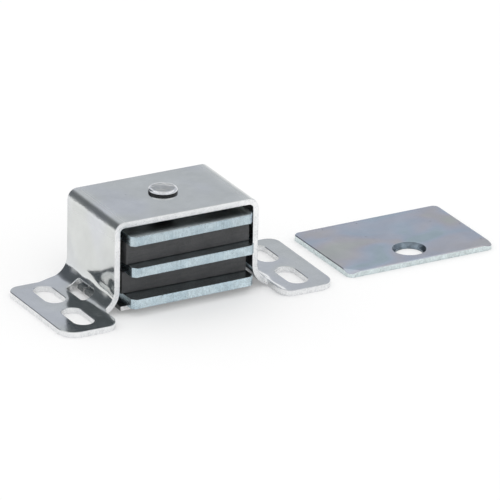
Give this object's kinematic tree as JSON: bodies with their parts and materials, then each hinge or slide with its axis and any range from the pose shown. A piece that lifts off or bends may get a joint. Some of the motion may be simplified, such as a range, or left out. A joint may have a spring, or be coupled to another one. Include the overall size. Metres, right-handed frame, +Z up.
{
  "type": "magnetic catch",
  "caption": "Heavy-duty magnetic door catch: a folded steel bracket with slotted flanges carries a floating magnet and pole-plate pack on a rivet, with a flat steel strike plate beside it.",
  "frame": {"origin": "point of the mounting plane under the middle of the bracket's body", "axes": "+Z up from the mounting plane, parallel to the rivet, +X along the bracket's width towards the strike plate, -Y the way the pole faces look"},
  "size_m": [0.1073, 0.03, 0.0224],
  "materials": {
    "bracket_steel": "bright zinc plate on smooth cold-rolled sheet",
    "retainer_steel": "plain zinc plate",
    "rivet_steel": "bright zinc plate",
    "pole_steel": "ground pole faces, bluish zinc plate",
    "ferrite": "matt sintered ferrite",
    "strike_steel": "zinc plate with faintly iridescent passivation"
  },
  "bodies": {
    "frame": {"bracket": "bracket_steel", "retainer_plate": "retainer_steel", "rivet": "rivet_steel", "strike_plate": "strike_steel"},
    "magnet_pack": {"pole_plate_top": "pole_steel", "pole_plate_middle": "pole_steel", "pole_plate_bottom": "pole_steel", "magnet_upper": "ferrite", "magnet_lower": "ferrite"}
  },
  "joints": [
    {"name": "pack_swivel", "type": "hinge", "parent": "frame", "child": "magnet_pack", "pos_m": [0.0005, 0.001, 0], "axis": [0, 0, 1], "range_deg": [-4.6, 2.2]}
  ]
}
